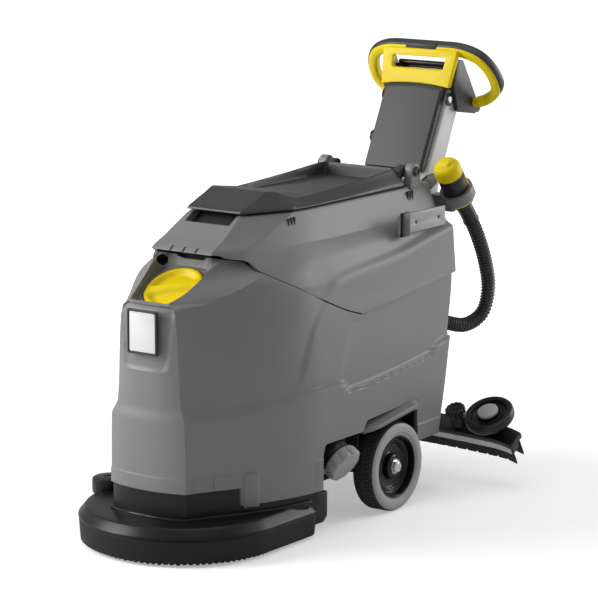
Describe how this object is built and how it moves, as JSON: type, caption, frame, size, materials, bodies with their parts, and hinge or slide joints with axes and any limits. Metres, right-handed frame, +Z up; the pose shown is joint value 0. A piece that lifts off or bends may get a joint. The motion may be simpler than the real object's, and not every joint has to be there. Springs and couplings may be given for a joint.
{
  "type": "walk-behind floor scrubber",
  "caption": "Walk-behind floor scrubber: grey two-part tank body, round brush deck, raised suction squeegee, leaning push column, looped yellow handle and drain hose.",
  "frame": {"origin": "floor level, middle of the bounding box", "axes": "+Z up, +Y towards the operator's handle (rear), +X the machine's left side"},
  "size_m": [0.706, 1.217, 0.9981],
  "materials": {
    "body_grey": "fine satin texture",
    "lid_grey": "fine satin texture",
    "black_plastic": "satin",
    "yellow_plastic": "smooth, slightly glossy",
    "light_grey": "satin",
    "black_rubber": "matt",
    "grey_tyre": "matt, light ribs",
    "red_bristle": "bundled filaments",
    "steel": "zinc plated",
    "white_plate": "smooth, blank",
    "motor_grey": "painted",
    "frame_black": "powder coated",
    "lens": "clear, tinted"
  },
  "bodies": {
    "chassis": {"chassis_frame": "frame_black", "base_tank": "body_grey", "front_plate": "white_plate", "brush_deck": "black_plastic", "deck_skirt": "black_rubber", "gear_motor": "motor_grey", "axle": "steel", "axle_nuts": "steel", "vacuum_motor": "motor_grey", "battery_pack": "black_plastic", "control_unit": "motor_grey", "filter_housing": "black_plastic", "column_shell": "light_grey", "column_cover": "lid_grey", "column_bolts": "steel", "console": "lid_grey", "control_panel": "black_plastic", "gauge_lens": "lens", "handle_frame": "yellow_plastic", "handle_grip": "lid_grey", "lever_pin": "steel", "hose_bracket": "body_grey", "drain_barrel": "black_plastic", "drain_hose": "black_rubber", "drain_spigot": "black_plastic", "squeegee_pin": "steel", "tank_hinges": "frame_black"},
    "brush": {"drive_shaft": "steel", "brush_disc": "black_plastic", "bristle_ring": "red_bristle"},
    "left_wheel": {"left_rim": "black_plastic", "left_tyre": "grey_tyre"},
    "right_wheel": {"right_rim": "black_plastic", "right_tyre": "grey_tyre"},
    "squeegee": {"squeegee_arms": "frame_black", "squeegee_bar": "black_plastic", "front_blade": "black_rubber", "rear_blade": "black_rubber", "blade_strip": "steel", "suction_port": "black_plastic", "roller_pins": "steel"},
    "left_guide": {"left_roller": "black_plastic"},
    "right_guide": {"right_roller": "black_plastic"},
    "left_screw": {"left_knob": "black_plastic"},
    "right_screw": {"right_knob": "black_plastic"},
    "tank": {"waste_tank": "body_grey", "float_cage": "light_grey", "accessory_rail": "light_grey", "lid_pins": "steel"},
    "lid": {"tank_lid": "lid_grey", "lid_seal": "black_rubber"},
    "clip": {"rail_clip": "black_plastic"},
    "fill": {"fill_cap": "yellow_plastic"},
    "filter": {"filter_cap": "body_grey"},
    "drain": {"drain_cap": "yellow_plastic"},
    "press_bar": {"drive_lever": "black_plastic"},
    "program": {"program_switch": "black_plastic"},
    "water": {"water_knob": "black_plastic"},
    "lift": {"lift_lever": "black_plastic"}
  },
  "joints": [
    {"name": "brush_spin", "type": "hinge", "parent": "chassis", "child": "brush", "pos_m": [0, -0.38388, 0.05], "axis": [0, 0, 1], "continuous": true},
    {"name": "left_wheel_spin", "type": "hinge", "parent": "chassis", "child": "left_wheel", "pos_m": [0.206, 0.07612, 0.1], "axis": [1, 0, 0], "continuous": true},
    {"name": "right_wheel_spin", "type": "hinge", "parent": "chassis", "child": "right_wheel", "pos_m": [-0.206, 0.07612, 0.1], "axis": [1, 0, 0], "continuous": true},
    {"name": "squeegee_lift", "type": "hinge", "parent": "chassis", "child": "squeegee", "pos_m": [0, 0.26212, 0.095], "axis": [-1, 0, 0], "range_deg": [0, 29.5]},
    {"name": "left_roller_spin", "type": "hinge", "parent": "squeegee", "child": "left_guide", "pos_m": [0.28, 0.3782, 0.16433], "axis": [0, -0.5, 0.866], "continuous": true},
    {"name": "right_roller_spin", "type": "hinge", "parent": "squeegee", "child": "right_guide", "pos_m": [-0.28, 0.3782, 0.16433], "axis": [0, -0.5, 0.866], "continuous": true},
    {"name": "left_knob_turn", "type": "hinge", "parent": "squeegee", "child": "left_screw", "pos_m": [0.19, 0.37439, 0.16444], "axis": [0, -0.5, 0.866], "range_deg": [0, 300]},
    {"name": "right_knob_turn", "type": "hinge", "parent": "squeegee", "child": "right_screw", "pos_m": [-0.19, 0.37439, 0.16444], "axis": [0, -0.5, 0.866], "range_deg": [0, 300]},
    {"name": "tank_tilt", "type": "hinge", "parent": "chassis", "child": "tank", "pos_m": [0, 0.36112, 0.674], "axis": [-1, 0, 0], "range_deg": [0, 30]},
    {"name": "lid_open", "type": "hinge", "parent": "tank", "child": "lid", "pos_m": [0, 0.29312, 0.724], "axis": [-1, 0, 0], "range_deg": [0, 55]},
    {"name": "clip_slide", "type": "slide", "parent": "tank", "child": "clip", "axis": [0, 1, 0], "range_m": [0, 0.13]},
    {"name": "fill_cap_turn", "type": "hinge", "parent": "chassis", "child": "fill", "pos_m": [0, -0.43329, 0.576], "axis": [0, -0.4867, 0.8736], "range_deg": [0, 90]},
    {"name": "filter_cap_turn", "type": "hinge", "parent": "chassis", "child": "filter", "pos_m": [0.236, -0.12388, 0.141], "axis": [0.8387, 0, -0.5446], "range_deg": [0, 180]},
    {"name": "drain_cap_turn", "type": "hinge", "parent": "chassis", "child": "drain", "pos_m": [0.152, 0.44012, 0.65], "axis": [0, -0.6018, 0.7986], "range_deg": [0, 90]},
    {"name": "drive_lever_press", "type": "hinge", "parent": "chassis", "child": "press_bar", "pos_m": [0, 0.53488, 0.93], "axis": [-1, 0, 0], "range_deg": [0, 12], "stiffness_Nm_per_rad": 0.8},
    {"name": "program_switch_turn", "type": "hinge", "parent": "chassis", "child": "program", "pos_m": [0.04, 0.58192, 0.87355], "axis": [0, 0.848, 0.5299], "range_deg": [0, 120]},
    {"name": "water_knob_turn", "type": "hinge", "parent": "chassis", "child": "water", "pos_m": [-0.04, 0.58192, 0.87355], "axis": [0, 0.848, 0.5299], "range_deg": [0, 270]},
    {"name": "lift_lever_turn", "type": "hinge", "parent": "chassis", "child": "lift", "pos_m": [-0.092, 0.45292, 0.769], "axis": [1, 0, 0], "range_deg": [0, 39.23]}
  ],
  "couplings": [
    {"joint": "lift_lever_turn", "follows": "squeegee_lift", "ratio": 1.33}
  ]
}
